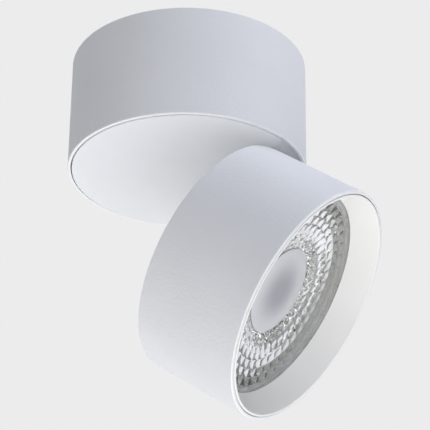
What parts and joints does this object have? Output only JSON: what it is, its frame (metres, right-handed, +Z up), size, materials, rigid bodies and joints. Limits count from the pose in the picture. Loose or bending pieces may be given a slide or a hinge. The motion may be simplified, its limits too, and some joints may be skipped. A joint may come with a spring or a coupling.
{
  "type": "surface mounted ceiling spotlight",
  "caption": "Round surface mounted ceiling spotlight: a turntable in the ceiling can carries an equal can with faceted lens, which turns, tilts and folds flat.",
  "frame": {"origin": "centre of the face that lies on the ceiling", "axes": "+Z up into the ceiling, +X the way the head points at rest, Y along the hinge pin"},
  "size_m": [0.1304, 0.1, 0.1583],
  "materials": {
    "white_powder_coat": "fine textured matt powder coat",
    "turntable_plastic": "satin moulded",
    "white_baffle_plastic": "satin moulded",
    "clear_polycarbonate": "polished, moulded facets",
    "frosted_polycarbonate": "etched",
    "grey_holder_plastic": "moulded",
    "white_holder_plastic": "moulded",
    "led_ceramic": "fired",
    "led_phosphor": "soft silicone",
    "cast_aluminium": "as cast",
    "galvanised_steel": "zinc coated sheet",
    "screw_steel": "bright zinc",
    "terminal_brass": "nickel free, drawn",
    "driver_plastic": "moulded",
    "terminal_plastic": "moulded",
    "circuit_board": "solder resist",
    "transformer_core": "ferrite and tape",
    "capacitor_sleeve": "shrunk sleeve",
    "glide_acetal": "moulded, slippery",
    "black_rubber": "moulded",
    "grey_rubber": "moulded",
    "lead_sheath": "extruded",
    "brown_insulation": "extruded",
    "blue_insulation": "extruded",
    "green_yellow_insulation": "extruded"
  },
  "bodies": {
    "base": {"ceiling_plate": "galvanised_steel", "cable_grommet": "black_rubber", "base_housing": "white_powder_coat", "lock_screw": "screw_steel", "driver_case": "driver_plastic", "driver_lid": "driver_plastic", "driver_board": "circuit_board", "driver_transformer": "transformer_core", "driver_capacitors": "capacitor_sleeve", "driver_screws": "screw_steel", "terminal_block": "terminal_plastic", "terminal_sleeves": "terminal_brass", "terminal_screws": "screw_steel", "block_screws": "screw_steel", "live_wire": "brown_insulation", "neutral_wire": "blue_insulation", "earth_screw": "screw_steel", "earth_wire": "green_yellow_insulation", "driver_output_lead": "lead_sheath"},
    "turntable": {"turntable_disc": "turntable_plastic", "lower_glide_ring": "glide_acetal", "upper_glide_ring": "glide_acetal", "retaining_ring": "galvanised_steel", "ring_screws": "screw_steel", "hinge_arm": "galvanised_steel", "arm_screws": "screw_steel", "lead_grommet": "grey_rubber", "turntable_lead": "lead_sheath"},
    "head": {"head_housing": "white_powder_coat", "back_plate": "white_powder_coat", "back_plate_screws": "screw_steel", "hinge_pin": "screw_steel", "hinge_nut": "screw_steel", "hinge_washers": "glide_acetal", "heat_sink": "cast_aluminium", "heat_sink_screws": "screw_steel", "cob_board": "led_ceramic", "cob_emitter": "led_phosphor", "cob_holder": "white_holder_plastic", "cob_screws": "screw_steel", "lens_holder": "grey_holder_plastic", "optic_lens": "clear_polycarbonate", "diffuser_disc": "frosted_polycarbonate", "baffle_ring": "white_baffle_plastic", "head_lead": "lead_sheath"}
  },
  "joints": [
    {"name": "pan", "type": "hinge", "parent": "base", "child": "turntable", "pos_m": [0, 0, -0.0482], "axis": [0, 0, 1], "range_deg": [-170, 170]},
    {"name": "tilt", "type": "hinge", "parent": "turntable", "child": "head", "pos_m": [0.0435, 0, -0.0585], "axis": [0, -1, 0], "range_deg": [-55.4, 34.6]}
  ]
}
